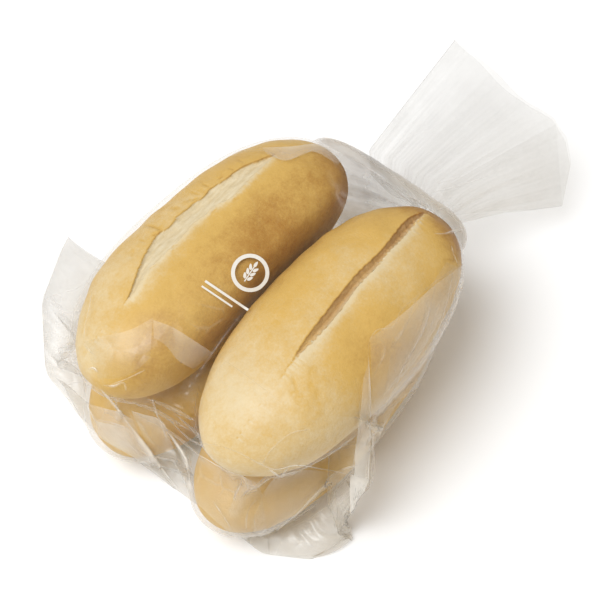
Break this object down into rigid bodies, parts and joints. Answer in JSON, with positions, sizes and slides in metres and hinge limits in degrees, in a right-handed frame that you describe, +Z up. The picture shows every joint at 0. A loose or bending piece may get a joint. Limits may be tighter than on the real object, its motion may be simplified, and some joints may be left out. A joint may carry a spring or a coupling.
{
  "type": "pack of long bread rolls",
  "caption": "Clear film bag of long slashed bread rolls stacked two on two, lying on its side, with a gathered neck and a fanned open end.",
  "frame": {"origin": "on the ground, under the middle of the stack of rolls, on the flat underside of the bag", "axes": "+X along the bag from its sealed end to its open end, +Y to the left of that, +Z up from the surface that the bag lies on"},
  "size_m": [0.2838, 0.2041, 0.1131],
  "materials": {
    "bread_crust": "soft golden bread crust, floury and dull, paler at the ends and in the slashes",
    "clear_film": "thin clear glossy film with fine creases, slightly milky where it is folded",
    "white_print": "thin white ink printed on the film"
  },
  "bodies": {
    "root": {"bag": "bread_crust"}
  },
  "joints": []
}
